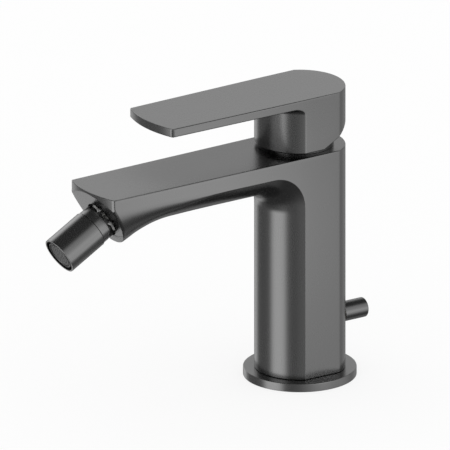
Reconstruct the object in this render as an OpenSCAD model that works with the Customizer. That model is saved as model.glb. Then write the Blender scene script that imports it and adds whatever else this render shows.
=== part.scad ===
// Single-lever bidet mixer: a one-piece spout body on a deck flange, a flat lever over a 25 mm ceramic
// cartridge, an aerator on a ball joint in the spout's nose, and a pull knob for the pop-up waste.
// Millimetres. Z is up, the spout points to -Y, the origin is the centre of the flange's underside.

/* [Foot] */
// Outer diameter of the deck flange
flange_d = 52; // [50:0.5:60]
// Thickness of the deck flange
flange_h = 4; // [3:0.25:6]
// Diameter of the body's spigot inside the flange
spigot_d = 32; // [31.5:0.25:34]
// Gap between the spigot's end and the deck
spigot_gap = 0.5; // [0.3:0.1:1]
// Outer diameter of the gasket under the flange
gasket_d = 48; // [44:0.5:49]
// Width of the gasket's ring
gasket_w = 5; // [3:0.25:6]
// Thickness of the gasket
gasket_h = 1.4; // [1:0.1:2]

/* [Body] */
// Diameter of the column, of the spout's belly and of the lever's hub
column_d = 41.8; // [41:0.1:43]
// Width across the two side flats
flats_w = 37.4; // [36.4:0.1:38]
// Height of the body's top face above the deck
body_top = 111.7; // [108:0.1:125]
// Height of the spout, from its top face to its belly
spout_h = 18.85; // [18.4:0.05:19.6]
// Reach of the spout from the column's axis
spout_reach = 117.1; // [112:0.1:130]
// Width of the spout at its tip
spout_tip_w = 35.2; // [34:0.1:35.4]
// Radius of the spout's front face, seen from above
spout_tip_r = 53; // [40:1:90]
// Radius of the fillet between column and belly
elbow_fillet = 5.3; // [4:0.1:6]

/* [Nose] */
// Angle of the nose face and of the joint's axis below the horizontal
nose_tilt = 29.2; // [27:0.1:31]
// Distance of the joint's axis behind the tip, on the nose face
nose_setback = 7.9; // [7.5:0.1:8.5]
// Depth of the joint's axis under the top face, on the nose face
nose_drop = 15.1; // [14.7:0.1:15.5]
// Inner radius of the bend that carries the belly down to the nose
nose_bend_r = 37; // [34:0.5:40]
// Distance from the tip to the start of that bend
nose_bend_back = 38.6; // [37:0.1:42]
// Radius of the nose's rounded lower outline
nose_round_r = 17.7; // [17.7:0.05:18.2]
// Diameter of the recess round the ball joint
nose_recess_d = 20.4; // [20:0.1:21]
// Depth of that recess
nose_recess_h = 2.3; // [2.2:0.05:2.6]

/* [Waterways] */
// Diameter of the two inlet threads in the foot
inlet_d = 9; // [8:0.1:9]
// Depth of the inlet threads
inlet_h = 12; // [10:0.5:12]
// Distance between the two inlets
inlet_gap = 14.4; // [14:0.1:15]
// Distance of the inlets in front of the column's axis
inlet_front = 4.2; // [4:0.1:4.6]
// Diameter of the supply bores above the inlets
supply_d = 6; // [5:0.1:6.2]
// Diameter of the fixing stud's thread in the foot
stud_d = 6.8; // [5:0.1:6.8]
// Depth of that thread
stud_h = 14; // [10:0.5:18]
// Distance of the stud in front of the column's axis
stud_front = 11.8; // [11.6:0.1:12]
// Diameter of the spout's waterway
spout_bore_d = 13; // [10:0.25:13.5]
// Depth of the spout's waterway under the top face
spout_bore_drop = 9.7; // [9.5:0.1:10]
// Diameter of the sloping bore from the cartridge to the spout
riser_d = 7; // [5:0.25:7.2]

/* [Cartridge] */
// Diameter of the cartridge
cartridge_d = 25; // [24.6:0.1:25.4]
// Depth of the cartridge's seat under the body's top face
seat_drop = 15.7; // [15.5:0.1:16]
// Thickness of the cartridge's base
base_h = 2.8; // [2.4:0.1:3.2]
// Height of the cartridge's wide barrel, base included
barrel_h = 10.2; // [9.8:0.1:10.6]
// Diameter of the cartridge's dome
dome_d = 22; // [21.6:0.1:22.2]
// Height of the dome's top above the body's top face
dome_rise = 6.8; // [6.4:0.1:7]
// Thickness of the fixed ceramic disc
fixed_disc_h = 2.8; // [2.4:0.1:3]
// Gap between the fixed ceramic disc and the barrel's wall
fixed_disc_gap = 0.2; // [0.15:0.05:0.4]
// Thickness of the moving ceramic disc
moving_disc_h = 2.6; // [2.2:0.1:2.8]
// Gap left between the moving ceramic disc and the wall at its ends of travel
moving_disc_gap = 1.2; // [0.9:0.1:1.6]
// Diameter of the cartridge's hot and cold ports
port_d = 4.8; // [4:0.1:5]
// Diameter of the cartridge's outlet port
outlet_d = 5.2; // [4.4:0.1:5.4]
// Diameter of the upper part of the rotor, which carries the lever's pivot
rotor_top_d = 16; // [15.6:0.1:16.1]
// Diameter of the lever's pivot pin
pivot_d = 3; // [2.4:0.1:3.2]
// Width of the square stem
stem_w = 7; // [6.4:0.1:7.2]
// Diameter of the ball at the stem's lower end
stem_ball_d = 5.2; // [4.6:0.1:5.4]
// Distance from the pivot to the centre of that ball
stem_arm = 10.5; // [10.2:0.1:10.8]
// Travel of the lever from shut to fully open, in degrees
lever_lift = 25; // [20:0.5:25]

/* [Cartridge nut and neck] */
// Diameter of the nut's thread in the body
nut_d = 28; // [27.6:0.1:28.4]
// Width across the nut's flats
nut_af = 25; // [24.4:0.1:25]
// Height of the nut's hexagon
nut_head_h = 4.5; // [4:0.1:5]
// Outer diameter of the neck cover
neck_d = 31.2; // [31.2:0.1:31.8]
// Height of the neck cover
neck_h = 7.2; // [6.8:0.1:7.4]
// Wall of the neck cover
neck_wall = 1; // [0.8:0.05:1]

/* [Lever] */
// Height of the lever's top face above the deck
lever_top = 140; // [139.8:0.1:142]
// Gap between the body's top face and the lever's hub
lever_gap = 2.1; // [1.8:0.1:2.4]
// Reach of the lever from the column's axis
lever_reach = 85; // [70:0.5:100]
// Width of the lever at its tip
lever_tip_w = 35.4; // [34:0.1:36.4]
// Radius of the lever's front edge, seen from above
lever_tip_r = 52; // [40:1:90]
// Thickness of the lever's blade
blade_h = 4.1; // [3.6:0.1:5]
// Radius of the fillet between blade and hub
blade_fillet = 3.2; // [2:0.1:5]
// Slope of the relief under the hub's back, in degrees
relief_slope = 28.5; // [27:0.1:30]
// Start of that relief behind the column's axis
relief_start = 1; // [0.5:0.1:1.5]
// Wall of the hub's front and back
hub_wall = 1.9; // [1.6:0.05:2]
// Wall of the hub behind its flats
hub_side_wall = 1.7; // [1.5:0.05:2]
// Thickness of the hub's roof
hub_roof = 2.6; // [2.4:0.1:2.8]
// Diameter of the socket boss round the stem
boss_d = 16; // [15:0.1:16]
// Length of the socket boss
boss_h = 9.4; // [9:0.1:9.4]
// Diameter of the grub screw
grub_d = 4; // [3:0.1:4]
// Length of the grub screw
grub_h = 6; // [5:0.1:8]

/* [Ball joint and aerator] */
// Diameter of the ball
ball_d = 12; // [11.8:0.05:12.1]
// Distance of the ball's centre in front of the nose face
ball_front = 6.1; // [6.1:0.05:6.4]
// Diameter of the ball's neck
neck_stud_d = 6.4; // [6:0.1:6.6]
// Diameter of the water bore through ball and neck
ball_bore_d = 4.4; // [3.6:0.1:4.6]
// Diameter of the ball stud's thread
ball_thread_d = 12; // [11:0.1:12.4]
// Diameter of the ball stud's flange
ball_flange_d = 15; // [14.6:0.1:15.4]
// Diameter of the sleeve
sleeve_d = 18.2; // [18:0.1:18.6]
// Length of the sleeve
sleeve_h = 19.9; // [18:0.1:24]
// Diameter of the collar
collar_d = 17.4; // [17.2:0.1:17.6]
// Length of the collar behind the sleeve
collar_h = 4.5; // [4.4:0.05:4.6]
// Diameter of the retaining ring
ring_d = 16.8; // [16.4:0.1:16.9]
// Thickness of the retaining ring
ring_h = 1.5; // [1.3:0.05:1.5]
// Number of tool slots in the retaining ring
ring_slots = 10; // [6:1:12]
// Diameter of the aerator insert
aerator_d = 16.6; // [16.2:0.1:16.8]
// Diameter of the aerator's outlet face
outlet_face_d = 14.2; // [13.6:0.1:14.4]
// Largest angle of the ball joint each way, in degrees
joint_swing = 10; // [8:0.5:11]

/* [Pop-up waste control] */
// Diameter of the pull knob
knob_d = 9.2; // [8:0.1:12]
// Length of the pull knob
knob_h = 10.1; // [8:0.1:14]
// Height of the pull knob's axis above the deck
knob_z = 25.2; // [24.8:0.1:25.6]
// Gap between the column's back and the pull knob
knob_gap = 4.1; // [3.5:0.1:6]
// Diameter of the pull shaft
shaft_d = 4; // [3.6:0.1:4.2]
// Outer diameter of the shaft's guide bush
bush_d = 7; // [6.4:0.1:7.4]
// Travel of the pull knob
knob_travel = 8; // [5:0.5:8]
// Height of the crank's pivot above the deck
crank_z = 14; // [13.8:0.1:14.2]
// Length of the crank's lower arm
crank_arm = 6.7; // [6.5:0.1:6.8]
// Diameter of the crank's pivot pin
crank_pin_d = 2; // [1.8:0.1:2.2]
// Diameter of the two link pins
link_pin_d = 1.8; // [1.6:0.1:1.9]
// Diameter of the lift rod
rod_d = 4.4; // [4.2:0.1:4.5]
// Diameter of the thread in the lift rod's lower end
rod_thread_d = 2.5; // [2:0.1:2.6]

/* [Hidden] */
$fn = 96;

// Small overlap that keeps cut faces apart
eps = 0.05;
// Running clearance of a pin in its hole, on the radius
run = 0.05;
// Clearance between parts that are screwed or pushed together, on the radius
fit = 0.1;
// Free gap round parts that must not touch
gap = 0.3;
// Length past every face for cutting bodies
past = 60;

metal = [0.36, 0.36, 0.37];
brass = [0.78, 0.65, 0.36];
steel = [0.6, 0.61, 0.62];
rubber = [0.08, 0.08, 0.08];
black_plastic = [0.12, 0.12, 0.13];
white_plastic = [0.85, 0.85, 0.82];
ceramic = [0.93, 0.92, 0.88];

column_r = column_d / 2;
half_flats = flats_w / 2;

// Bend between column and belly: both are tubes of the column's radius
belly_z = body_top - spout_h + column_r;
elbow_r = column_r + elbow_fillet;
elbow_z = belly_z - elbow_r;
// The column's back part and the bend meet on a plane where both are as wide as the flats
flat_edge = sqrt(column_r * column_r - half_flats * half_flats);
elbow_seam = 0.96 * flat_edge;

// Bend that carries the belly down to the nose
nose_bend_y = spout_reach - nose_bend_back;
nose_major_r = column_r + nose_bend_r;
nose_y = spout_reach - nose_setback;
nose_z = body_top - nose_drop;
// The rounded lower outline is centred above the joint's axis and widens to the back
nose_round_up = 4.6;
nose_round_slope = 0.22;
nose_round_len = 40;
// Height above the outline's centre at which it is as wide as the spout's tip
nose_full_up = sqrt(pow(nose_round_r, 2) - pow(spout_tip_w / 2, 2));
nose_full_z = nose_z + (nose_round_up + nose_full_up) * cos(nose_tilt);
nose_overlap = 0.5;

// Ball joint, measured along its axis from the ball's centre, positive to the outlet
ball_r = ball_d / 2;
face_s = -ball_front;
recess_s = face_s - nose_recess_h;
ball_flange_h = 0.8;
ball_thread_h = 10;
nose_bore_d = 7;
nose_bore_h = 9;
nose_bore_end = recess_s - ball_thread_h - nose_bore_h;
seam_s = 0.8;
seam_gap = 0.2;
sleeve_end = seam_s + sleeve_h;
collar_front = seam_s - seam_gap;
collar_back = collar_front - collar_h;
ring_back = collar_back - ring_h;
ring_spigot_h = 1.5;
ring_spigot_d = 15.2;
ring_slot_w = 1.4;
ring_slot_deep = 1.6;
ring_slot_h = 0.8;
seal_r = ball_r + 0.85;
cavity_r = seal_r + fit;
// Angle of the joint with both of its swings at their limits
joint_cone = acos(pow(cos(joint_swing), 2));
ring_hole_r = neck_stud_d / 2 / cos(joint_cone) - ring_back * tan(joint_cone) + 0.15;
ball_seal_back = 2;
ball_seal_front = 3.4;
collar_thread_h = 6;
collar_thread_d = 14.6;
collar_bore_d = 8.4;
shoulder_depth = 9.2;
shoulder_s = seam_s + shoulder_depth;
washer_h = 1;
washer_w = 1.3;
insert_floor = 1.6;
insert_hole_r = 4;
insert_hole_d = 1.6;
screen_lift = 1.5;
screen_h = 0.8;
screen_hole_r = 4.6;
screen_hole_d = 1.8;
screen_centre_d = 3;
face_hole_d = 0.9;
face_hole_pitch = outlet_face_d / 7.4;
rim_depth = 0.4;
face_depth = 0.9;
face_h = 1;

// Cartridge levels
seat_z = body_top - seat_drop;
base_top = seat_z + base_h;
barrel_top = seat_z + barrel_h;
fixed_top = base_top + fixed_disc_h;
moving_top = fixed_top + moving_disc_h;
dome_top = body_top + dome_rise;
dome_wall = 1.3;
dome_lip_h = 1.5;
barrel_wall = 1.4;
fixed_disc_d = cartridge_d - 2 * (barrel_wall + fixed_disc_gap);
rotor_d = dome_d - 2 * (dome_wall + gap);
rotor_bottom = body_top + 1.2;
rotor_step = dome_top - dome_lip_h - 0.4;
pivot_z = dome_top + 2.5;
rotor_top = pivot_z + 2.8;
rotor_window_y = 6.2;
rotor_window_x = stem_w / 2 + gap;
half_lift = lever_lift / 2;
ball_back = stem_arm * sin(half_lift);
ball_down = stem_arm * cos(half_lift);
moving_disc_d = cartridge_d - 2 * (barrel_wall + ball_back + moving_disc_gap);
carrier_top = pivot_z - ball_down + 1.9;
carrier_top_d = dome_d - 2 * (dome_wall + ball_back + moving_disc_gap);
carrier_floor = 1.2;
carrier_rim_h = 0.7;
// The ports and their seals keep their shares of the cartridge's diameter
port_x = 0.264 * cartridge_d;
port_y = -0.152 * cartridge_d;
outlet_y = -0.304 * cartridge_d;
port_seal_r = 0.12 * cartridge_d;
port_seal_w = 1.1;
stem_neck_d = stem_ball_d - 1.4;

// The riser leaves the cartridge's outlet at 45 degrees and ends in the spout's waterway
riser_h = 25;
riser_inset = 7.5;
riser_foot_z = elbow_z - elbow_r + 2 * riser_inset - outlet_y;
spout_bore_start = 5;
spout_bore_stop = 12;
supply_stop = 3;
port_link_h = 4;

// Lever levels
hub_bottom = body_top + lever_gap;
blade_bottom = lever_top - blade_h;
roof_z = lever_top - hub_roof;
boss_bottom = roof_z - boss_h;
grub_z = boss_bottom + 4;
stem_top = roof_z - 1;

// Pop-up linkage: the crank's pivot lies under the middle of the knob's travel
link_y = 3.5;
crank_y = link_y + knob_travel / 2;
crank_rise = knob_z - crank_z;
crank_swing = atan(knob_travel / 2 / crank_rise);
rod_y = crank_y - crank_arm * (1 + cos(crank_swing)) / 2;
rod_pin_z = crank_z - crank_arm * sin(crank_swing);
rod_bottom = spigot_gap + 0.1;
rod_top = rod_pin_z + 2.3;
rod_thread_h = 6;
cheek_in = 0.95;
cheek_out = 2.15;
tongue_x = 0.7;
tongue_rim = 1.6;
tongue_end = link_y + 3.9;
fork_end = sqrt(pow(knob_travel / 2, 2) + pow(crank_rise, 2)) + 1.3;
fork_half = 2.5;
slot_half = link_pin_d / 2 + gap;
pocket_wide = 3.4;
pocket_narrow = cheek_out + 0.15;
pocket_step_y = 2.5;
pocket_front = rod_y - rod_d / 2 - 0.1;
pocket_back = crank_y + fork_end * sin(crank_swing) + fork_half + 0.4;
pocket_top = crank_z + fork_end + 3.3;
plate_top = 2.6;
plate_rim = 1.3;
plate_wing_x = 7.4;
plate_wing_y0 = 6;
plate_wing_y1 = 13;
bracket_arm_h = 17.5;
bracket_screw_x = 5.6;
bracket_screw_y = 9.5;
bracket_screw_d = 2.5;
bracket_screw_h = 8;
bush_in = pocket_back;
bush_out = column_r - gap;
bush_groove_w = 1;
bush_grooves = [bush_in + 1.2, bush_in + 3];
shaft_seal_w = 0.65;
knob_start = column_r + knob_gap;
knob_socket_h = 5;

// A box between two corners
module box(low, high) {
  translate(low) cube(high - low);
}

// A tube or rod along Y between two places
module rod_y(r, y0, y1, z = 0) {
  translate([0, y0, z]) rotate([-90, 0, 0]) cylinder(r = r, h = y1 - y0);
}

// A rod along X, centred on x = 0
module rod_x(r, half, y, z) {
  translate([-half, y, z]) rotate([0, 90, 0]) cylinder(r = r, h = 2 * half);
}

// Frame of the ball joint: origin at the ball, Z along the water's way out, Y up the nose face
module joint_frame() {
  translate([0, -nose_y, nose_z]) rotate([90 + nose_tilt, 0, 0]) translate([0, 0, ball_front]) children();
}

// A ring between two radii and two heights
module ring(r_out, r_in, z0, z1) {
  translate([0, 0, z0]) difference() {
    cylinder(r = r_out, h = z1 - z0);
    translate([0, 0, -1]) cylinder(r = r_in, h = z1 - z0 + 2);
  }
}

// A rubber ring with a round section
module o_ring(r, w) {
  rotate_extrude() translate([r, 0]) circle(d = w, $fn = 24);
}

// Outline from above of the body or the lever: side flats that taper to an arched tip
module plan(reach, tip_w, tip_r) {
  intersection() {
    polygon([
      [-half_flats, column_r + 1], [half_flats, column_r + 1], [half_flats, -flat_edge],
      [tip_w / 2, -reach], [tip_w / 2, -reach - 1], [-tip_w / 2, -reach - 1], [-tip_w / 2, -reach],
      [-half_flats, -flat_edge]
    ]);
    union() {
      translate([0, tip_r - reach]) circle(r = tip_r, $fn = 200);
      translate([-half_flats - 1, tip_r - reach]) square([2 * half_flats + 2, reach + past]);
    }
  }
}

// The tube that runs up the column, round the bend, along the spout and down into the nose
module body_tube() {
  intersection() {
    translate([0, 0, flange_h]) cylinder(r = column_r, h = body_top - flange_h);
    box([-past, -elbow_seam, 0], [past, past, body_top]);
  }
  intersection() {
    translate([0, 0, flange_h]) cylinder(r = column_r, h = elbow_z - flange_h);
    box([-past, -past, 0], [past, -elbow_seam, elbow_z]);
  }
  intersection() {
    translate([0, -elbow_r, elbow_z]) rotate([90, 0, 90])
      rotate_extrude(angle = 90) translate([elbow_r, 0]) circle(r = column_r);
    box([-past, -past, 0], [past, -elbow_seam, 2 * body_top]);
  }
  rod_y(column_r, -nose_bend_y, -elbow_r, belly_z);
  translate([0, -nose_bend_y, belly_z - nose_major_r]) rotate([90, 0, 90]) rotate([0, 0, 90])
    rotate_extrude(angle = nose_tilt) translate([nose_major_r, 0]) circle(r = column_r);
  translate([0, -nose_bend_y, belly_z - nose_major_r]) rotate([nose_tilt, 0, 0])
    rod_y(column_r, -past / 2, nose_overlap, nose_major_r);
}

// What the nose keeps below its full width: a cone round an axis parallel to the joint's
module nose_outline() {
  joint_frame() translate([0, nose_round_up, face_s - nose_round_len])
    cylinder(r1 = nose_round_r + nose_round_slope * nose_round_len, r2 = nose_round_r, h = nose_round_len);
  box([-past, -spout_reach - 1, nose_full_z], [past, column_r + 1, body_top + 1]);
  box([-past, -nose_bend_y, 0], [past, column_r + 1, body_top]);
}

module body_shape() {
  difference() {
    intersection() {
      body_tube();
      translate([0, 0, flange_h]) linear_extrude(body_top - flange_h)
        plan(spout_reach, spout_tip_w, spout_tip_r);
      nose_outline();
    }
    joint_frame() translate([-past, -past, face_s]) cube([2 * past, 2 * past, past]);
  }
}

// Bores from the foot to the cartridge, and from the cartridge to the nose
module waterways() {
  for (side = [-1, 1]) {
    translate([side * inlet_gap / 2, -inlet_front, 0]) {
      cylinder(d = inlet_d, h = spigot_gap + inlet_h);
      cylinder(d = supply_d, h = seat_z - supply_stop);
    }
    translate([side * port_x, port_y, seat_z - port_link_h]) cylinder(d = port_d, h = port_link_h + 1);
  }
  translate([0, outlet_y, riser_foot_z]) {
    cylinder(d = outlet_d, h = seat_z - riser_foot_z + 1);
    rotate([45, 0, 0]) cylinder(d = riser_d, h = riser_h);
  }
  rod_y(spout_bore_d / 2, spout_bore_stop - nose_y, spout_bore_start - elbow_r, body_top - spout_bore_drop);
  joint_frame() {
    translate([0, 0, recess_s]) cylinder(d = nose_recess_d, h = nose_recess_h + 1);
    translate([0, 0, recess_s - ball_thread_h - 1])
      cylinder(r = ball_thread_d / 2 + run, h = ball_thread_h + 2);
    translate([0, 0, nose_bore_end]) cylinder(d = nose_bore_d, h = recess_s - nose_bore_end);
  }
}

// Room for the crank, open at the foot, with the shaft's way out at the back
module crank_pocket() {
  box([-pocket_narrow, pocket_front, 0], [pocket_narrow, pocket_back, pocket_top]);
  box([-pocket_wide, pocket_step_y, 0], [pocket_wide, pocket_back, pocket_top]);
  bracket_plate(fit, 0, plate_top);
  for (side = [-1, 1])
    translate([side * bracket_screw_x, bracket_screw_y, 0])
      cylinder(r = bracket_screw_d / 2 + run, h = plate_top + bracket_screw_h);
  rod_y(bush_d / 2 + run, pocket_back - 1, past, knob_z);
}

module body_casting() {
  color(metal) difference() {
    union() {
      body_shape();
      translate([0, 0, spigot_gap]) cylinder(d = spigot_d, h = flange_h - spigot_gap);
    }
    waterways();
    crank_pocket();
    translate([0, 0, -1]) translate([0, -stud_front, 0]) cylinder(d = stud_d, h = spigot_gap + stud_h + 1);
    translate([0, 0, seat_z]) cylinder(r = cartridge_d / 2 + fit, h = past);
    translate([0, 0, barrel_top - gap]) cylinder(r = nut_d / 2, h = past);
  }
}

module base_flange() {
  color(metal) difference() {
    cylinder(d = flange_d, h = flange_h);
    translate([0, 0, -1]) cylinder(r = spigot_d / 2 + fit, h = flange_h + 2);
    ring(gasket_d / 2 + fit, gasket_d / 2 - gasket_w - fit, -1, gasket_h);
  }
}

module base_gasket() {
  color(rubber) ring(gasket_d / 2, gasket_d / 2 - gasket_w, 0, gasket_h);
}

// Places of the cartridge's three ports, each with its diameter
ports = [[-port_x, port_y, port_d], [port_x, port_y, port_d], [0, outlet_y, outlet_d]];

module port_holes(z0, z1) {
  for (p = ports) translate([p[0], p[1], z0]) cylinder(d = p[2], h = z1 - z0);
}

// Seal grooves round the ports, at one face of the cartridge's base
module seal_grooves(z0, z1) {
  for (p = ports) translate([p[0], p[1], 0])
    ring(port_seal_r + port_seal_w / 2 + run, port_seal_r - port_seal_w / 2 - run, z0, z1);
}

module cartridge_base() {
  color(black_plastic) difference() {
    translate([0, 0, seat_z]) cylinder(r = cartridge_d / 2 - fit, h = base_h);
    port_holes(seat_z - 1, base_top + 1);
    seal_grooves(seat_z - 1, seat_z + port_seal_w);
    seal_grooves(base_top - port_seal_w, base_top + 1);
  }
}

module port_seals() {
  color(rubber) for (p = ports)
    translate([p[0], p[1], seat_z + port_seal_w / 2]) o_ring(port_seal_r, port_seal_w);
}

module disc_seals() {
  color(rubber) for (p = ports)
    translate([p[0], p[1], base_top - port_seal_w / 2]) o_ring(port_seal_r, port_seal_w);
}

module fixed_disc() {
  color(ceramic) difference() {
    translate([0, 0, base_top]) cylinder(d = fixed_disc_d, h = fixed_disc_h);
    port_holes(base_top - 1, fixed_top + 1);
  }
}

// The moving disc slides on the fixed one and joins the ports through the hollow in its underside
module moving_disc() {
  color(ceramic) translate([0, ball_back, 0]) difference() {
    translate([0, 0, fixed_top]) cylinder(d = moving_disc_d, h = moving_disc_h);
    translate([0, -1, fixed_top - 1]) cylinder(r = moving_disc_d / 3, h = 1 + moving_disc_h / 2);
  }
}

module disc_carrier() {
  color(white_plastic) translate([0, ball_back, 0]) difference() {
    union() {
      translate([0, 0, moving_top]) cylinder(d = moving_disc_d, h = carrier_rim_h);
      translate([0, 0, moving_top]) cylinder(d = carrier_top_d, h = carrier_top - moving_top);
    }
    translate([0, 0, pivot_z - ball_down - stem_ball_d / 2 - carrier_floor])
      cylinder(r = stem_ball_d / 2 + gap, h = past);
  }
}

module cartridge_housing() {
  inner = dome_d / 2 - dome_wall;
  color(black_plastic) {
    difference() {
      union() {
        translate([0, 0, base_top]) cylinder(d = cartridge_d, h = barrel_top - base_top);
        translate([0, 0, base_top]) cylinder(d = dome_d, h = dome_top - base_top);
      }
      translate([0, 0, base_top - 1]) cylinder(r = cartridge_d / 2 - barrel_wall, h = barrel_h - base_h);
      translate([0, 0, base_top - 1]) cylinder(r = inner, h = dome_top - dome_lip_h - base_top + 1);
      translate([0, 0, base_top]) cylinder(r = rotor_top_d / 2 + gap, h = past);
    }
  }
}

module cartridge_rotor() {
  color(white_plastic) difference() {
    union() {
      translate([0, 0, rotor_bottom]) cylinder(d = rotor_d, h = rotor_step - rotor_bottom);
      translate([0, 0, rotor_bottom]) cylinder(d = rotor_top_d, h = rotor_top - rotor_bottom);
    }
    box([-rotor_window_x, -rotor_window_y, 0], [rotor_window_x, rotor_window_y, lever_top]);
    rod_x(pivot_d / 2 + run, rotor_top_d, 0, pivot_z);
  }
}

module pivot_pin() {
  color(steel) rod_x(pivot_d / 2, rotor_top_d / 2 - 0.4, 0, pivot_z);
}

// The stem rocks about the pivot pin; its square top holds the lever, its ball drives the moving disc
module cartridge_stem() {
  half = stem_w / 2;
  color(brass) difference() {
    union() {
      box([-half, -half, pivot_z - half], [half, half, stem_top]);
      translate([0, 0, pivot_z]) rotate([half_lift, 0, 0]) {
        translate([0, 0, -stem_arm]) cylinder(d = stem_neck_d, h = stem_arm);
        translate([0, 0, -stem_arm]) sphere(d = stem_ball_d);
      }
    }
    rod_x(pivot_d / 2 + run, stem_w, 0, pivot_z);
  }
}

module cartridge_nut() {
  color(brass) difference() {
    union() {
      translate([0, 0, barrel_top]) cylinder(r = nut_d / 2 - fit, h = body_top - barrel_top);
      translate([0, 0, body_top]) cylinder(d = nut_af / cos(30), h = nut_head_h, $fn = 6);
    }
    translate([0, 0, barrel_top - 1]) cylinder(r = dome_d / 2 + gap, h = past);
  }
}

module neck_cover() {
  color(metal) difference() {
    translate([0, 0, body_top]) cylinder(d = neck_d, h = neck_h);
    translate([0, 0, body_top - 1]) cylinder(r = neck_d / 2 - neck_wall, h = neck_h - neck_wall + 1);
    translate([0, 0, body_top]) cylinder(r = dome_d / 2 + gap, h = past);
  }
}

// Hub and blade of the lever, with the fillet between them and the slope under the hub's back
module lever_shape() {
  difference() {
    intersection() {
      union() {
        translate([0, 0, hub_bottom]) cylinder(r = column_r, h = lever_top - hub_bottom);
        box([-past, -past - lever_reach, blade_bottom], [past, 0, lever_top]);
        translate([0, 0, blade_bottom - blade_fillet]) difference() {
          cylinder(r = column_r + blade_fillet, h = blade_fillet);
          rotate_extrude() translate([column_r + blade_fillet, 0]) circle(r = blade_fillet);
          box([-past, 0, -1], [past, past, past]);
        }
      }
      translate([0, 0, hub_bottom]) linear_extrude(lever_top - hub_bottom)
        plan(lever_reach, lever_tip_w, lever_tip_r);
    }
    translate([0, relief_start, hub_bottom]) rotate([relief_slope, 0, 0])
      box([-past, 0, -past], [past, past, 0]);
  }
}

module lever_handle() {
  color(metal) difference() {
    union() {
      difference() {
        lever_shape();
        intersection() {
          cylinder(r = column_r - hub_wall, h = roof_z);
          box([-half_flats + hub_side_wall, -past, 0], [half_flats - hub_side_wall, past, roof_z]);
        }
      }
      translate([0, 0, boss_bottom]) cylinder(d = boss_d, h = boss_h + eps);
    }
    half = stem_w / 2 + run;
    box([-half, -half, 0], [half, half, stem_top + gap]);
    rod_y(grub_d / 2 + run, 0, boss_d, grub_z);
    rod_y(grub_d / 2 + 0.4, boss_d / 2 + 1, past, grub_z);
  }
}

module grub_screw() {
  color(steel) difference() {
    rod_y(grub_d / 2, stem_w / 2 + run, stem_w / 2 + run + grub_h, grub_z);
    translate([0, stem_w / 2 + grub_h - 1.6, grub_z]) rotate([-90, 0, 0])
      cylinder(r = grub_d / 4, h = 2, $fn = 6);
  }
}

module grub_plug() {
  color(metal) rod_y(grub_d / 2 + 0.35, column_r - hub_wall - 1, column_r - 0.1, grub_z);
}

// Fixed half of the ball joint, screwed into the nose
module ball_stud() {
  color(steel) joint_frame() difference() {
    union() {
      sphere(d = ball_d);
      translate([0, 0, recess_s]) cylinder(d = neck_stud_d, h = -recess_s);
      translate([0, 0, recess_s]) cylinder(d = ball_flange_d, h = ball_flange_h);
      translate([0, 0, recess_s - ball_thread_h]) cylinder(d = ball_thread_d, h = ball_thread_h);
    }
    translate([0, 0, -past]) cylinder(d = ball_bore_d, h = 2 * past);
    ring(ball_thread_d / 2 + 1.2, ball_thread_d / 2, recess_s - 1, recess_s + 0.6);
  }
}

module ball_stud_seal() {
  color(rubber) joint_frame()
    ring(ball_thread_d / 2 + 1.1, ball_thread_d / 2 + 0.1, recess_s, recess_s + 0.55);
}

// Seal ring between ball and collar, round on both faces so that each can turn on it
module ball_seal() {
  color(rubber) joint_frame() intersection() {
    difference() {
      sphere(r = seal_r);
      sphere(r = ball_r + run);
    }
    translate([0, 0, -ball_seal_back]) cylinder(r = ball_d, h = ball_seal_back + ball_seal_front);
  }
}

module joint_collar() {
  color(metal) joint_frame() difference() {
    union() {
      translate([0, 0, collar_back]) cylinder(d = collar_d, h = collar_front - collar_back);
      translate([0, 0, collar_back])
        cylinder(d = collar_thread_d, h = seam_s + collar_thread_h - collar_back);
    }
    sphere(r = cavity_r);
    translate([0, 0, collar_back - 1]) cylinder(r = ring_spigot_d / 2 + run, h = ring_spigot_h + 1 + eps);
    cylinder(d = collar_bore_d, h = past);
  }
}

// Castellated ring that screws into the collar's back and holds it on the ball
module retaining_ring() {
  color(steel) joint_frame() difference() {
    union() {
      translate([0, 0, ring_back]) cylinder(d = ring_d, h = ring_h);
      translate([0, 0, ring_back]) cylinder(d = ring_spigot_d, h = ring_h + ring_spigot_h);
    }
    translate([0, 0, collar_back]) cylinder(r = cavity_r, h = past);
    translate([0, 0, ring_back - 1]) cylinder(r = ring_hole_r, h = past);
    for (i = [0:ring_slots - 1]) rotate([0, 0, i * 360 / ring_slots])
      box([ring_d / 2 - ring_slot_deep, -ring_slot_w / 2, ring_back - 1],
          [ring_d, ring_slot_w / 2, ring_back + ring_slot_h]);
  }
}

module aerator_sleeve() {
  color(metal) joint_frame() difference() {
    translate([0, 0, seam_s]) cylinder(d = sleeve_d, h = sleeve_h);
    translate([0, 0, seam_s - 1]) cylinder(r = collar_thread_d / 2 + run, h = sleeve_h);
    translate([0, 0, shoulder_s]) cylinder(r = aerator_d / 2 + fit, h = sleeve_h);
  }
}

module aerator_washer() {
  color(rubber) joint_frame()
    ring(aerator_d / 2 - fit, aerator_d / 2 - washer_w, shoulder_s, shoulder_s + washer_h);
}

// Insert that mixes the air in: a cup with a floor of small holes and an open front
module aerator_insert() {
  front = sleeve_end - rim_depth;
  back = shoulder_s + washer_h;
  color(black_plastic) joint_frame() difference() {
    translate([0, 0, back]) cylinder(d = aerator_d, h = front - back);
    translate([0, 0, back + insert_floor]) cylinder(r = outlet_face_d / 2 + run, h = past);
    for (a = [0:60:300]) rotate([0, 0, a])
      translate([insert_hole_r, 0, back - 1]) cylinder(d = insert_hole_d, h = insert_floor + 2);
  }
}

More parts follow.
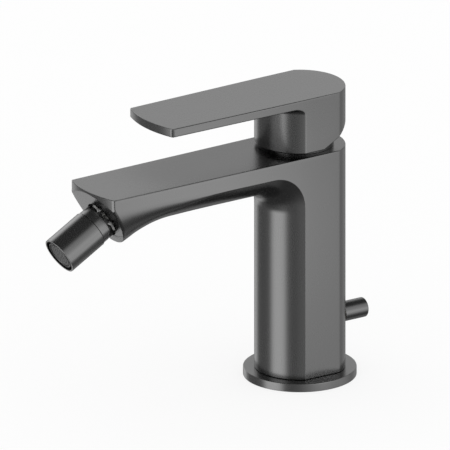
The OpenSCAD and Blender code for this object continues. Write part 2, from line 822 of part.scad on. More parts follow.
module aerator_screen() {
  back = shoulder_s + washer_h + insert_floor;
  color(steel) joint_frame() difference() {
    translate([0, 0, back + screen_lift]) cylinder(d = outlet_face_d, h = screen_h);
    for (a = [0:45:315]) rotate([0, 0, a])
      translate([screen_hole_r, 0, back]) cylinder(d = screen_hole_d, h = past);
    translate([0, 0, back]) cylinder(d = screen_centre_d, h = past);
  }
}

module outlet_face() {
  front = sleeve_end - face_depth;
  color(steel) joint_frame() difference() {
    translate([0, 0, front - face_h]) cylinder(d = outlet_face_d, h = face_h);
    for (ring_no = [1:3]) for (i = [0:6 * ring_no - 1]) rotate([0, 0, i * 60 / ring_no])
      translate([ring_no * face_hole_pitch, 0, front - 2 * face_h])
        cylinder(d = face_hole_d, h = 4 * face_h, $fn = 16);
  }
}

module guide_bush() {
  color(brass) difference() {
    rod_y(bush_d / 2, bush_in, bush_out, knob_z);
    rod_y(shaft_d / 2 + run, bush_in - 1, past, knob_z);
    for (y = bush_grooves) rod_y(shaft_d / 2 + shaft_seal_w + 2 * run, y, y + bush_groove_w, knob_z);
  }
}

module shaft_seals() {
  color(rubber) for (y = bush_grooves) translate([0, y + bush_groove_w / 2, knob_z]) rotate([90, 0, 0])
    o_ring(shaft_d / 2 + shaft_seal_w / 2 + run, shaft_seal_w);
}

module pull_shaft() {
  color(steel) difference() {
    rod_y(shaft_d / 2, link_y - tongue_rim, knob_start + knob_socket_h, knob_z);
    for (side = [-1, 1])
      box([side > 0 ? tongue_x : -past, 0, 0], [side > 0 ? past : -tongue_x, tongue_end, past]);
    rod_x(link_pin_d / 2 + run / 2, past, link_y, knob_z);
  }
}

module pull_knob() {
  color(metal) difference() {
    rod_y(knob_d / 2, knob_start, knob_start + knob_h, knob_z);
    rod_y(shaft_d / 2 + run, knob_start - 1, knob_start + knob_socket_h + fit, knob_z);
  }
}

module shaft_link_pin() {
  color(steel) rod_x(link_pin_d / 2, cheek_out, link_y, knob_z);
}

// Foot plate of the crank's bracket, grown by a clearance
module bracket_plate(grow, z0, z1) {
  box([-pocket_narrow + fit - grow, rod_y, z0], [pocket_narrow - fit + grow, pocket_back - fit + grow, z1]);
  translate([0, rod_y, z0]) cylinder(r = rod_d / 2 + plate_rim + grow, h = z1 - z0);
  box([-plate_wing_x - grow, plate_wing_y0 - grow, z0], [plate_wing_x + grow, plate_wing_y1 + grow, z1]);
}

module crank_bracket() {
  color(steel) difference() {
    union() {
      bracket_plate(0, rod_bottom, plate_top - fit);
      for (side = [-1, 1])
        translate([side * (cheek_out + pocket_wide) / 2, crank_y, 0])
          box([-0.5, -3, rod_bottom], [0.5, 3, bracket_arm_h]);
    }
    translate([0, rod_y, 0]) cylinder(r = rod_d / 2 + run, h = past);
    rod_x(crank_pin_d / 2 + run, past, crank_y, crank_z);
    for (side = [-1, 1]) translate([side * bracket_screw_x, bracket_screw_y, 0])
      cylinder(r = bracket_screw_d / 2 + fit, h = past);
  }
}

module bracket_screws() {
  color(steel) for (side = [-1, 1]) translate([side * bracket_screw_x, bracket_screw_y, 0])
    translate([0, 0, rod_bottom]) cylinder(d = bracket_screw_d, h = bracket_screw_h);
}

module crank_pin() {
  color(steel) rod_x(crank_pin_d / 2, pocket_wide - fit, crank_y, crank_z);
}

// Crank drawn with its upper arm straight up, then turned to the knob's rest place
module bell_crank() {
  color(brass) translate([0, crank_y, crank_z]) difference() {
    union() {
      rod_x(2.6, cheek_out, 0, 0);
      rotate([crank_swing, 0, 0]) for (side = [-1, 1])
        box([side > 0 ? cheek_in : -cheek_out, -fork_half, 0],
            [side > 0 ? cheek_out : -cheek_in, fork_half, fork_end]);
      rotate([crank_swing, 0, 0]) box([-1, -crank_arm - 1.9, -1.8], [1, 0, 1.8]);
    }
    rod_x(crank_pin_d / 2 + run, past, 0, 0);
    rotate([crank_swing, 0, 0]) {
      box([-past, -slot_half, crank_rise - slot_half - 0.2], [past, slot_half, past]);
      box([-past, -crank_arm - slot_half - 0.2, -slot_half], [past, -crank_arm + slot_half + 0.2, slot_half]);
    }
  }
}

module lift_rod() {
  color(steel) translate([0, rod_y, 0]) difference() {
    translate([0, 0, rod_bottom]) cylinder(d = rod_d, h = rod_top - rod_bottom);
    box([-1.2, -past, rod_pin_z - 3.2], [1.2, past, past]);
    rod_x(link_pin_d / 2 + run / 2, past, 0, rod_pin_z);
    translate([0, 0, rod_bottom - 1]) cylinder(d = rod_thread_d, h = rod_thread_h + 1);
  }
}

module rod_link_pin() {
  color(steel) rod_x(link_pin_d / 2, rod_d / 2 - 0.1, rod_y, rod_pin_z);
}

base_flange();
base_gasket();
body_casting();
cartridge_base();
port_seals();
disc_seals();
fixed_disc();
cartridge_housing();
cartridge_nut();
neck_cover();
cartridge_rotor();
pivot_pin();
moving_disc();
disc_carrier();
cartridge_stem();
lever_handle();
grub_screw();
grub_plug();
ball_stud();
ball_stud_seal();
ball_seal();
joint_collar();
retaining_ring();
aerator_sleeve();
aerator_washer();
aerator_insert();
aerator_screen();
outlet_face();
guide_bush();
shaft_seals();
pull_shaft();
pull_knob();
shaft_link_pin();
crank_bracket();
bracket_screws();
crank_pin();
bell_crank();
lift_rod();
rod_link_pin();
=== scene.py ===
# Bidet mixer: smooth metal skins over the CAD frame, soft studio light and the photograph's camera.
# The axes are the frame's own: Z is up, the spout points to -Y, the near side flat faces +X.
# Lengths typed in here are millimetres and become metres in mesh_object.
import math

import bmesh
import bpy
import numpy as np
from mathutils import Matrix, Vector


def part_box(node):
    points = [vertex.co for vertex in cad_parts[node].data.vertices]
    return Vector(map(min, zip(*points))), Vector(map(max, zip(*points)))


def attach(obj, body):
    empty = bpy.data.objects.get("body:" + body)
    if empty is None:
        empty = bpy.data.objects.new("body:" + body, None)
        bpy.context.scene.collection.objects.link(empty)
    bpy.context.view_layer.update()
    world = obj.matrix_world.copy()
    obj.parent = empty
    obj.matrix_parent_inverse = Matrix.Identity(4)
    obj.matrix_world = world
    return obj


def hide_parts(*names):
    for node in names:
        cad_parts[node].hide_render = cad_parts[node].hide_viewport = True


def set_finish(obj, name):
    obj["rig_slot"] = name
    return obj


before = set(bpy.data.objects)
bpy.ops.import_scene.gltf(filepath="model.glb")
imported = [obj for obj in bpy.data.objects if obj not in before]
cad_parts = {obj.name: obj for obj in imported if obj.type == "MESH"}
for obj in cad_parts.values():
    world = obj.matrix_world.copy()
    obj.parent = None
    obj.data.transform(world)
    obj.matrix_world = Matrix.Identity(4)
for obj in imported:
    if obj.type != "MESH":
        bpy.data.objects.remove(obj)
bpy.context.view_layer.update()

MM = 0.001


def low(node):
    """Lowest corner of a CAD node, in millimetres."""
    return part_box(node)[0] / MM


def high(node):
    """Highest corner of a CAD node, in millimetres."""
    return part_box(node)[1] / MM


# Levels and radii that the frame gives
column_r = high("body_casting").y
half_flats = high("body_casting").x
body_top = high("body_casting").z
spout_reach = -low("body_casting").y
flange_top = high("base_flange").z
lever_top = high("lever_handle").z
hub_bottom = low("lever_handle").z
lever_reach = -low("lever_handle").y

# Sizes that the boxes don't show. Body
flat_edge = math.sqrt(column_r ** 2 - half_flats ** 2)
spout_h = 18.85
elbow_fillet = 5.3
elbow_soft = 3.7
tip_half = 17.6
tip_arc_r = 53

# Nose, with the recess and the thread behind the ball
nose_tilt = math.radians(29.2)
nose_setback = 7.9
nose_drop = 15.1
nose_bend_r = 37
nose_bend_back = 38.6
nose_power = 2.1
ball_front = 6.1
recess_r = 9
recess_floor = -8.4
stud_thread_r = 6.1
stud_thread_front = -8
stud_thread_end = -19.4

# Foot: spigot, flange, the threads from below and the supplies
spigot_r = 16
spigot_bottom = 0.5
spigot_top = 8
flange_r = 26
gasket_in_r = 18.9
gasket_out_r = 24.1
gasket_h = 1.4
inlet_x = 7.2
inlet_y = -4.2
inlet_r = 4.5
inlet_depth = 12.5
supply_r = 3
supply_bottom = 12
supply_top = 93
stud_y = -11.8
stud_r = 3.4
stud_depth = 14.5

# Cartridge's seat, nut and neck
cartridge_r = 12.6
cartridge_seat = 96
nut_r = 14
nut_seat = 105.9
neck_r = 15.6
neck_wall = 1
neck_hole_r = 11.3

# Pull knob, and the crank's pocket, plate and rod
knob_r = 4.6
knob_gap = 1.7
knob_socket = 5
knob_z = 25.2
shaft_r = 2.05
bush_r = 3.55
rod_y = 1
rod_hole_r = 3.6
pocket_front = -1.3
pocket_step = 2.5
pocket_back = 14.8
pocket_top = 30.5
pocket_wide = 3.4
pocket_narrow = 2.3
plate_top = 2.6
plate_half = 7.5
plate_front = 5.9
plate_rear = 13.1

# Lever: blade, hub, boss and grub screw
blade_h = 4.1
blade_fillet = 3.2
lever_tip_half = 17.7
lever_arc_r = 52
relief_start = 1
relief_slope = math.tan(math.radians(28.5))
cavity_r = 19
cavity_half = 17
cavity_roof = 137.4
boss_r = 8
boss_bottom = 128
stem_half = 3.55
stem_bottom = 100
grub_z = 132
grub_r = 2.05
grub_depth = 9
plug_r = 2.4

# Collar and the cup in it that holds the ball
cup_r = 6.95
cup_mouth_r = 6.54
water_hole_r = 4.2
collar_r = 8.7
collar_back = -3.9
collar_front = 0.6
collar_thread_r = 7.65
collar_neck_r = 7.3
collar_end = 6.8
spanner_cut = 0.9
spanner_length = 1.5

# Slotted ring behind the collar; the first slot's turn is in degrees
ring_r = 8.6
ring_back = -5.4
ring_front = -2.4
ring_skirt_r = 7.6
ring_hole_r = 4.81
ring_slots = 12
slot_half = 0.9
slot_floor_r = 5.6
slot_bottom = -6
first_slot = 7

# Aerator: sleeve, insert and outlet disc
sleeve_r = 9.1
sleeve_back = 0.8
sleeve_end = 20.7
sleeve_thread_r = 7.35
sleeve_mouth_r = 8.3
sleeve_step = 10
insert_in_r = 7.15
insert_out_r = 8.25
insert_back = 11
insert_front = 19
disc_r = 7.1
disc_back = 19.3
disc_front = 20.3
disc_sunk = 0.05
disc_groove_r = 6.2
disc_groove_floor = 20
disc_hole_r = 0.3
disc_hole_pitch = 1.12
disc_hole_rings = 5

# How finely the skins are divided: points across a loop, shares up a side flat, points of a traced curve
# and of an edge's fillet, sides of a turned piece, and rows along the body and the lever
ACROSS = 24
FLAT = (0.22, 0.5536, 0.8)
TRACE = 60
EDGE_POINTS = 5
ROUND = 96
RISE_ROWS = 7
LEVEL_ROWS = 10
SPOUT_ROWS = 9
NOSE_ROWS = 9
FILLET_ROWS = 7
BLADE_ROWS = 8
# Roundings of the skins' edges, the angle from which an edge is rounded, and the one below which it is smooth
EDGE_R = 0.5
RIM_BEVEL = 0.45
CORNER_BEVEL = 1.3
SHARP = math.radians(18)
SMOOTH_BELOW = math.radians(30)
# Chamfer of a bore's rim, and how far cutters reach past a face
CHAMFER = 0.15
PAST = 1


def mesh_object(name, vertices, faces):
    """A mesh object from points in millimetres."""
    mesh = bpy.data.meshes.new(name)
    mesh.from_pydata([tuple(c * MM for c in v) for v in vertices], [], faces)
    obj = bpy.data.objects.new(name, mesh)
    bpy.context.scene.collection.objects.link(obj)
    return obj


def tidy(obj):
    """Welds doubled points, drops empty faces and turns the normals outwards; its distances are metres."""
    bm = bmesh.new()
    bm.from_mesh(obj.data)
    bmesh.ops.remove_doubles(bm, verts=bm.verts, dist=2e-6)
    bmesh.ops.dissolve_degenerate(bm, edges=bm.edges, dist=1e-6)
    bmesh.ops.delete(bm, geom=[e for e in bm.edges if not e.link_faces], context="EDGES")
    bmesh.ops.recalc_face_normals(bm, faces=bm.faces)
    bm.to_mesh(obj.data)
    bm.free()


def apply_modifiers(obj):
    """Turns what the modifiers make into the object's own mesh."""
    shape = bpy.data.meshes.new_from_object(obj.evaluated_get(bpy.context.evaluated_depsgraph_get()))
    obj.modifiers.clear()
    obj.data = shape


def smooth(obj):
    """Smooth faces that keep every sharper edge."""
    obj.data.shade_smooth()
    bm = bmesh.new()
    bm.from_mesh(obj.data)
    for edge in bm.edges:
        edge.smooth = len(edge.link_faces) == 2 and edge.calc_face_angle() < SMOOTH_BELOW
    bm.to_mesh(obj.data)
    bm.free()
    even = obj.modifiers.new("even_normals", "WEIGHTED_NORMAL")
    even.keep_sharp = True
    even.weight = 80


def bevel_edges(obj, is_corner):
    """Rounds the sharp edges of a skin: corners widely, the others by a hair."""
    bm = bmesh.new()
    bm.from_mesh(obj.data)
    weight = bm.edges.layers.float.new("bevel_weight_edge")
    for edge in bm.edges:
        if len(edge.link_faces) == 2 and edge.calc_face_angle() > SHARP:
            a, b = (v.co / MM for v in edge.verts)
            edge[weight] = 1 if is_corner(a, b) else RIM_BEVEL / CORNER_BEVEL
    bm.to_mesh(obj.data)
    bm.free()
    bevel = obj.modifiers.new("edges", "BEVEL")
    bevel.limit_method = "WEIGHT"
    bevel.width = CORNER_BEVEL * MM
    bevel.segments = 3
    bevel.use_clamp_overlap = False
    apply_modifiers(obj)


def skin(name, rows, cap_first, cap_last):
    """A closed surface through loops of equal length. A cap is 'flat', or 'strip' across a thin loop."""
    count = len(rows[0])
    faces = []
    for k in range(len(rows) - 1):
        for j in range(count):
            a, b = k * count + j, k * count + (j + 1) % count
            faces.append((a, b, b + count, a + count))
    for row, cap in ((0, cap_first), (len(rows) - 1, cap_last)):
        loop = [row * count + j for j in range(count)]
        if cap == "flat":
            faces.append(loop)
        else:
            inner = loop[:ACROSS + 1]
            outer = loop[ACROSS + 1 + len(FLAT):2 * ACROSS + 2 + len(FLAT)][::-1]
            far = loop[ACROSS + 1:ACROSS + 1 + len(FLAT)]
            near = loop[2 * ACROSS + 2 + len(FLAT):][::-1]
            faces += [(inner[j], inner[j + 1], outer[j + 1], outer[j]) for j in range(1, ACROSS - 1)]
            faces.append([outer[0]] + near[::-1] + [inner[0], inner[1], outer[1]])
            faces.append([inner[-2], inner[-1]] + far + [outer[-1], outer[-2]])
    obj = mesh_object(name, [p for row in rows for p in row], faces)
    tidy(obj)
    return obj


def rounded(outline, steps=3):
    """A closed outline whose corners (radius, height, rounding) become short arcs."""
    points = []
    for k, corner in enumerate(outline):
        at = Vector(corner[:2])
        if len(corner) == 2:
            points.append(at)
            continue
        before = Vector(outline[k - 1][:2]) - at
        after = Vector(outline[(k + 1) % len(outline)][:2]) - at
        start = at + before.normalized() * corner[2]
        end = at + after.normalized() * corner[2]
        for t in np.linspace(0, 1, steps + 1):
            points.append(start * (1 - t) ** 2 + at * 2 * t * (1 - t) + end * t * t)
    return points


def lathe(name, outline, place=Matrix.Identity(4), sides=ROUND):
    """A turned piece: the outline goes once round the axis of the frame place."""
    points = rounded(outline)
    vertices = []
    for k in range(sides):
        turn = 2 * math.pi * k / sides
        vertices += [place @ Vector((p.x * math.cos(turn), p.x * math.sin(turn), p.y)) for p in points]
    count = len(points)
    faces = []
    for k in range(sides):
        a, b = k * count, (k + 1) % sides * count
        faces += [(a + j, b + j, b + (j + 1) % count, a + (j + 1) % count) for j in range(count)]
    obj = mesh_object(name, vertices, faces)
    tidy(obj)
    return obj


def cutter_rod(radius, start, end, place, flare=0.0):
    """A rod for cutting a bore, widened at its end by the flare so that the bore's rim is chamfered."""
    outline = [(0, start), (radius, start), (radius, end - flare)]
    outline += [(radius + 2 * flare, end + flare), (0, end + flare)]
    return lathe("cutter", outline, place)


def cutter_box(low_corner, high_corner, place=Matrix.Identity(4)):
    """A box for cutting, between two corners."""
    corners = [place @ Vector([(low_corner, high_corner)[k >> axis & 1][axis] for axis in range(3)])
               for k in range(8)]
    return mesh_object("cutter", corners, [(0, 2, 3, 1), (4, 5, 7, 6), (0, 1, 5, 4),
                                           (2, 6, 7, 3), (0, 4, 6, 2), (1, 3, 7, 5)])


def split_caps(obj):
    """Splits large flat faces into triangles, so that no face surrounds a cut opening."""
    bm = bmesh.new()
    bm.from_mesh(obj.data)
    bmesh.ops.triangulate(bm, faces=[f for f in bm.faces if len(f.verts) > 4])
    bm.to_mesh(obj.data)
    bm.free()


def combine(obj, operation, others):
    """Cuts the other solids out of obj, or joins them to it, and removes them."""
    split_caps(obj)
    for other in others:
        change = obj.modifiers.new("combine", "BOOLEAN")
        change.operation = operation
        change.solver = "MANIFOLD"
        change.object = other
    apply_modifiers(obj)
    for other in others:
        bpy.data.objects.remove(other)


def frame_at(origin, x_axis, z_axis):
    """A frame from its origin and two axes."""
    z = Vector(z_axis).normalized()
    x = Vector(x_axis).normalized()
    turned = Matrix([x, z.cross(x), z]).transposed().to_4x4()
    return Matrix.Translation(Vector(origin)) @ turned


pieces = []


def finish_piece(obj, body_name, slot, *nodes):
    """Smooths a piece, lets it ride on its body, hides the CAD nodes it stands for and names its finish."""
    smooth(obj)
    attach(obj, body_name)
    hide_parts(*nodes)
    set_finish(obj, slot)
    pieces.append(obj)


def plan_half(y, tip, reach):
    """Half-width of a plan whose side flats taper from the column to the tip."""
    share = min(max((-y - flat_edge) / (reach - flat_edge), 0), 1)
    return half_flats + (tip - half_flats) * share


def ring_of_points(inner, outer, side):
    """One loop: inner edge from near to far, up the far flat, outer edge back to near, down the near flat."""
    near = [side(inner[0], outer[0], f) for f in FLAT]
    far = [side(inner[-1], outer[-1], f) for f in FLAT]
    return list(inner) + far + list(outer[::-1]) + near[::-1]


def straight_side(tip, reach):
    """Places points between a flat's lower and upper edge on the tapered side plane."""
    def place(a, b, share):
        y = a[1] + (b[1] - a[1]) * share
        z = a[2] + (b[2] - a[2]) * share
        return (math.copysign(plan_half(y, tip, reach), a[0]), y, z)
    return place


def across(half, y, z):
    """Points of a straight line across, from near to far."""
    return [(half * (1 - 2 * j / ACROSS), y, z) for j in range(ACROSS + 1)]


def arc_across(radius, half, back, z):
    """Points of a round wall across, from near to far: a horizontal arc about the column's axis."""
    start = math.asin(half / radius)
    points = []
    for j in range(ACROSS + 1):
        angle = start * (1 - 2 * j / ACROSS)
        points.append((radius * math.sin(angle), back * radius * math.cos(angle), z))
    return points


def tip_line(half, radius, reach, z_at):
    """Points of the arched front wall, from near to far, each at the height z_at(x, y)."""
    points = []
    for j in range(ACROSS + 1):
        x = half * (1 - 2 * j / ACROSS)
        y = -(reach - radius) - math.sqrt(radius ** 2 - x ** 2)
        points.append((x, y, z_at(x, y)))
    return points


def smoothstep(value, start, end):
    """A share that rises smoothly from 0 at the start to 1 at the end."""
    t = min(max((value - start) / (end - start), 0), 1)
    return t * t * (3 - 2 * t)


def blend(a, b, share):
    """What lies between a and b at a share of the way."""
    return a + (b - a) * share


def resample(points, count):
    """Points evenly spaced along a polyline."""
    points = np.array(points, float)
    length = np.concatenate([[0], np.cumsum(np.linalg.norm(np.diff(points, axis=0), axis=1))])
    at = np.linspace(0, length[-1], count)
    return np.stack([np.interp(at, length, points[:, k]) for k in range(points.shape[1])], 1)


def tube_half(edge_radius):
    """Half of the tube's lower outline as (half-width, height): round belly, fillet, start of the flat."""
    centre_w = half_flats - edge_radius
    drop = math.sqrt((column_r - edge_radius) ** 2 - centre_w ** 2)
    turn = math.atan2(centre_w, drop)
    belly = [(column_r * math.sin(a), column_r * (1 - math.cos(a))) for a in np.linspace(0, turn, TRACE)]
    edge = [(centre_w + edge_radius * math.sin(a), column_r - drop - edge_radius * math.cos(a))
            for a in np.linspace(turn, math.pi / 2, TRACE // 2)]
    belly_points = ACROSS // 2 + 2 - EDGE_POINTS
    return resample(belly, belly_points)[:-1].tolist() + resample(edge, EDGE_POINTS).tolist()


def nose_half(height):
    """Half of the nose's lower outline: rounded underneath, upright where the flat starts."""
    power = 2 / nose_power
    outline = [(half_flats * math.sin(t) ** power, height * (1 - math.cos(t) ** power))
               for t in np.linspace(0, math.pi / 2, TRACE)]
    return resample(outline, ACROSS // 2 + 1)


def section(base, up, height, edge_radius=EDGE_R, nose_share=0.0):
    """Inner edge of a loop: the lower outline on the belly's point base, stretched to the height along up."""
    half = np.array(tube_half(edge_radius))
    half[:, 1] *= height / half[-1, 1]
    half = blend(half, nose_half(height), nose_share)
    side = []
    for w, h in half:
        y = base[0] + up[0] * h
        z = base[1] + up[1] * h
        side.append((w * plan_half(y, tip_half, spout_reach) / half_flats, y, z))
    return side[::-1] + [(-x, y, z) for x, y, z in side[1:]]


# Body: up the column, round the elbow, along the spout and down into the nose
belly_z = body_top - spout_h + column_r
elbow_y = -(column_r + elbow_fillet)
elbow_z = belly_z - column_r - elbow_fillet
nose_bend_y = nose_bend_back - spout_reach
nose_bend_z = belly_z - column_r - nose_bend_r
nose_face_y = nose_setback - spout_reach
nose_face_z = body_top - nose_drop
tip_corner_y = -(spout_reach - tip_arc_r) - math.sqrt(tip_arc_r ** 2 - tip_half ** 2)
flat_start = belly_z - flat_edge
flat_reach = elbow_fillet + column_r - flat_edge
# Forward of the column: where the belly's edge grows rounder, by how much, and where the nose's outline forms
edge_grows = (50, 84)
nose_edge_growth = 9
nose_forms = (66, 102.6)
# Heights of the loops on the plain column
column_rows = [30, 60]


def nose_plane_z(x, y):
    """Height of the inclined nose face where it meets the front wall."""
    return nose_face_z + (nose_face_y - y) / math.tan(nose_tilt)


def nose_section(base, up):
    """Inner edge of a loop of the spout, which turns from the tube's outline into the nose's."""
    height = (flat_start - base[1]) / up[1]
    edge_radius = EDGE_R + nose_edge_growth * smoothstep(-base[0], *edge_grows)
    return section(base, up, height, edge_radius, smoothstep(-base[0], *nose_forms))


def elbow_reach(along):
    """How far the belly is from the elbow's centre lines, at a distance along them past the softer corner."""
    radius = elbow_fillet + elbow_soft
    return math.sqrt(radius ** 2 - max(elbow_soft - along, 0) ** 2) - elbow_soft


def elbow_radius(turn):
    """Distance of the belly from the elbow's centre at an angle of the bend."""
    lean = elbow_soft * (math.cos(turn) + math.sin(turn))
    return math.sqrt(lean ** 2 + (elbow_fillet + elbow_soft) ** 2 - 2 * elbow_soft ** 2) - lean


def spout_across(y):
    """Outer edge of a loop of the spout, across its top face."""
    return across(plan_half(y, tip_half, spout_reach), y, body_top)


def body_rows():
    """The body's loops, from the foot up the column, round the elbow and out to the nose face."""
    side = straight_side(tip_half, spout_reach)
    rows = []
    straight = (elbow_soft, elbow_soft * 0.7, elbow_soft * 0.4)
    for z in [flange_top] + column_rows + [elbow_z - drop for drop in straight]:
        reach = elbow_reach(elbow_z - z)
        rows.append(ring_of_points(section((elbow_y + reach, z), (1, 0), flat_reach - reach),
                                   arc_across(column_r, half_flats, 1, z), side))
    corner = math.atan2(body_top - elbow_z, flat_edge - elbow_y)
    rising = list(np.linspace(0, corner, RISE_ROWS))
    levelling = list(np.linspace(corner, math.pi / 2, LEVEL_ROWS))
    for k, turn in enumerate(rising + levelling):
        up = (math.cos(turn), math.sin(turn))
        reach = elbow_radius(turn)
        base = (elbow_y + reach * up[0], elbow_z + reach * up[1])
        inner = section(base, up, flat_reach - reach)
        if k < len(rising):
            outer = arc_across(column_r, half_flats, 1, elbow_z + (flat_edge - elbow_y) * math.tan(turn))
        else:
            outer = spout_across(elbow_y + (body_top - elbow_z) / math.tan(turn))
        rows.append(ring_of_points(inner, outer, side))
    spout_rows = list(np.linspace(elbow_y, nose_bend_y, SPOUT_ROWS)[1:])
    for y in [elbow_y - ahead for ahead in straight[::-1]] + spout_rows:
        inner = nose_section((y, elbow_z + elbow_reach(elbow_y - y)), (0, 1))
        rows.append(ring_of_points(inner, spout_across(y), side))
    for turn in np.linspace(0, nose_tilt, NOSE_ROWS)[1:]:
        up = (-math.sin(turn), math.cos(turn))
        base = (nose_bend_y + nose_bend_r * up[0], nose_bend_z + nose_bend_r * up[1])
        top_y = nose_bend_y - (body_top - nose_bend_z) * math.tan(turn)
        rows.append(ring_of_points(nose_section(base, up), spout_across(top_y), side))
    out = (-math.cos(nose_tilt), -math.sin(nose_tilt))
    face_step = (nose_face_y - nose_bend_y) * out[0] + (nose_face_z - nose_bend_z) * out[1]
    corner_step = (top_y - tip_corner_y) * math.cos(nose_tilt)
    for step in (corner_step / 2, corner_step, (corner_step + face_step) / 2, face_step):
        foot = (base[0] + out[0] * step, base[1] + out[1] * step)
        inner = nose_section(foot, up)
        down = max(step - corner_step, 0) / (face_step - corner_step)
        if step < corner_step:
            outer = spout_across(top_y - step / math.cos(nose_tilt))
        else:
            outer = tip_line(tip_half, tip_arc_r, spout_reach,
                             lambda x, y: body_top + (nose_plane_z(x, y) - body_top) * down)
        rows.append(ring_of_points(inner, outer, side))
    return rows


def at_tip_corner(a, b):
    """True for the steep edges at the two front corners, of the spout or of the blade."""
    edge = b - a
    steep = abs(edge.z) > abs(edge.x) + abs(edge.y) * 0.6
    at_front = min(a.y, b.y) < -75
    at_side = abs(a.x) > 15
    return steep and at_front and at_side


body = skin("body_skin", body_rows(), "flat", "flat")
bevel_edges(body, at_tip_corner)

# Places that other pieces are turned about: upright, the knob's axis, and the ball joint's axis
UPRIGHT = Matrix.Identity(4)
KNOB = frame_at((0, 0, knob_z), (1, 0, 0), (0, 1, 0))
outward = Vector((0, -math.cos(nose_tilt), -math.sin(nose_tilt)))
JOINT = frame_at(Vector((0, nose_face_y, nose_face_z)) + outward * ball_front, (1, 0, 0), outward)

# The pocket's wide part is a hair larger, so that no two faces of the cutters coincide
hair = 0.01
combine(body, "UNION", [lathe("spigot", [
    (0, spigot_bottom), (spigot_r, spigot_bottom, 0.3), (spigot_r, spigot_top), (0, spigot_top)])])
openings = [
    cutter_rod(recess_r, recess_floor, -ball_front, JOINT, CHAMFER),
    cutter_rod(stud_thread_r, stud_thread_end, stud_thread_front, JOINT),
    cutter_rod(cartridge_r, cartridge_seat, body_top + PAST, UPRIGHT),
    cutter_rod(nut_r, nut_seat, body_top + PAST, UPRIGHT),
    cutter_rod(stud_r, -PAST, stud_depth, Matrix.Translation((0, stud_y, 0))),
    cutter_rod(bush_r, pocket_back - PAST, column_r, KNOB, CHAMFER),
    cutter_box((-pocket_narrow, pocket_front, -PAST), (pocket_narrow, pocket_back, pocket_top)),
    cutter_box((-pocket_wide, pocket_step, -PAST), (pocket_wide, pocket_back + hair, pocket_top + hair)),
    cutter_rod(rod_hole_r, -PAST, plate_top, Matrix.Translation((0, rod_y, 0))),
    cutter_box((-plate_half, plate_front, -PAST), (plate_half, plate_rear, plate_top)),
]
for side in (-1, 1):
    inlet = Matrix.Translation((side * inlet_x, inlet_y, 0))
    openings.append(cutter_rod(inlet_r, -PAST, inlet_depth, inlet))
    openings.append(cutter_rod(supply_r, supply_bottom, supply_top, inlet))
combine(body, "DIFFERENCE", openings)
finish_piece(body, "body", "gunmetal_brass", "body_casting")


# Lever: hollow hub, fillet, and blade with an arched tip
blade_bottom = lever_top - blade_h
# Where the fillet's last loop crosses the blade's top
fillet_top_y = -16


def relief_z(y):
    """Height of the hub's lower edge, which slopes up at the back."""
    return hub_bottom + max(y - relief_start, 0) * relief_slope


def hub_loop(radius, half, share, front_top, back_top):
    """A loop round the hub, from its lower edge (share 0) up to the given heights (share 1)."""
    def side(a, b, along):
        y = a[1] + (b[1] - a[1]) * along
        level = front_top + (back_top - front_top) * along
        return (a[0], y, relief_z(y) + (level - relief_z(y)) * share)

    front = [(x, y, relief_z(y) + (front_top - relief_z(y)) * share)
             for x, y, z in arc_across(radius, half, -1, 0)]
    back = [(x, y, relief_z(y) + (back_top - relief_z(y)) * share)
            for x, y, z in arc_across(radius, half, 1, 0)]
    return ring_of_points(front, back, side)


def lever_rows():
    """The lever's loops: down the hub's hollow, up round the hub, through the fillet and out to the tip."""
    side = straight_side(lever_tip_half, lever_reach)
    fillet_z = blade_bottom - blade_fillet
    rows = [hub_loop(cavity_r, cavity_half, 1, cavity_roof, cavity_roof),
            hub_loop(cavity_r, cavity_half, 0, cavity_roof, cavity_roof)]
    for share in (0, 0.25, 0.5, 0.75, 1):
        rows.append(hub_loop(column_r, half_flats, share, fillet_z, lever_top))
    top_y = np.linspace(flat_edge, fillet_top_y, FILLET_ROWS)
    for k, turn in enumerate(np.linspace(0, math.pi / 2, FILLET_ROWS)):
        radius = column_r + blade_fillet * (1 - math.cos(turn))
        z = fillet_z + blade_fillet * math.sin(turn)
        inner = arc_across(radius, half_flats, -1, z)
        half = plan_half(inner[0][1], lever_tip_half, lever_reach)
        inner = arc_across(radius, half, -1, z)
        outer = across(plan_half(top_y[k], lever_tip_half, lever_reach), top_y[k], lever_top)
        rows.append(ring_of_points(inner, outer, side))
    under_start, top_start = np.array(inner), np.array(outer)
    under_end = np.array(tip_line(lever_tip_half, lever_arc_r, lever_reach, lambda x, y: blade_bottom))
    top_end = np.array(tip_line(lever_tip_half, lever_arc_r, lever_reach, lambda x, y: lever_top))
    for share in np.linspace(0, 1, BLADE_ROWS)[1:]:
        inner = under_start + (under_end - under_start) * share
        outer = top_start + (top_end - top_start) * share
        rows.append(ring_of_points([tuple(p) for p in inner], [tuple(p) for p in outer], side))
    return rows


lever = skin("lever_skin", lever_rows(), "flat", "strip")
bevel_edges(lever, at_tip_corner)
boss_top = cavity_roof + PAST
stem_roof = cavity_roof - 0.7
GRUB = frame_at((0, 0, grub_z), (1, 0, 0), (0, 1, 0))
combine(lever, "UNION", [lathe("boss", [
    (0, boss_bottom), (boss_r, boss_bottom, 0.4), (boss_r, boss_top), (0, boss_top)])])
combine(lever, "DIFFERENCE", [
    cutter_box((-stem_half, -stem_half, stem_bottom), (stem_half, stem_half, stem_roof)),
    cutter_rod(grub_r, 0, grub_depth, GRUB),
    cutter_rod(plug_r, grub_depth, column_r, GRUB, 0.1),
])
finish_piece(lever, "lever", "gunmetal_lever", "lever_handle")

